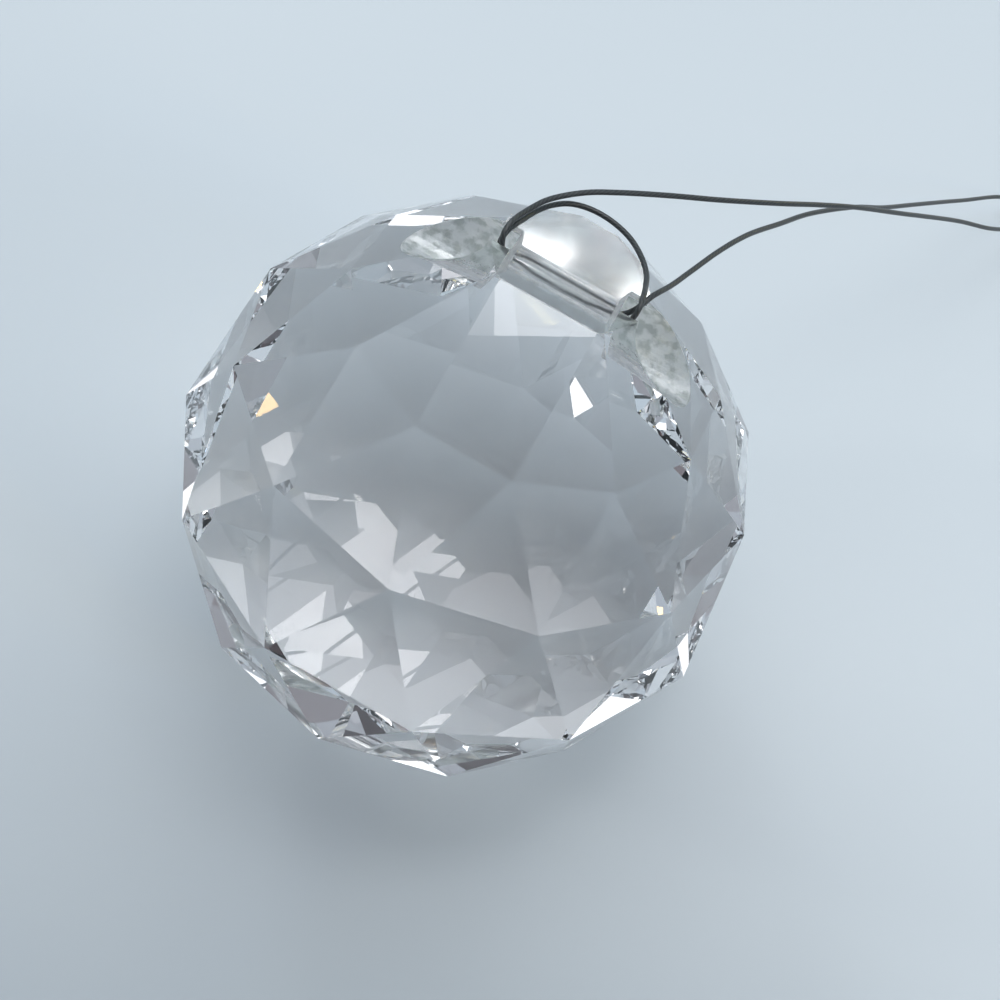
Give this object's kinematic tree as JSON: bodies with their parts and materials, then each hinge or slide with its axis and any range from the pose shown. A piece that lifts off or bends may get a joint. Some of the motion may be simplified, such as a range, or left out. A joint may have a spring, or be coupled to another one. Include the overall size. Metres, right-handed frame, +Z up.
{
  "type": "crystal suncatcher ball",
  "caption": "Faceted clear glass ball with a cross hole under its flat top and a thin nylon hanging thread looped through it, lying on one of its base facets.",
  "frame": {"origin": "on the base facet that the ball rests on, straight below the middle of the ball", "axes": "+Z up, square to the resting facet; +X towards the side where the loose thread runs out, +Y away from the viewer"},
  "size_m": [0.0818, 0.0637, 0.041],
  "materials": {
    "crystal": "polished clear glass, ground white inside the hole's recesses",
    "thread": "dark nylon thread with a soft sheen"
  },
  "bodies": {
    "root": {"crystal_ball": "crystal", "thread_wrap": "thread", "thread_upper_strand": "thread", "thread_lower_strand": "thread", "thread_coil": "thread", "thread_knot": "thread"}
  },
  "joints": []
}
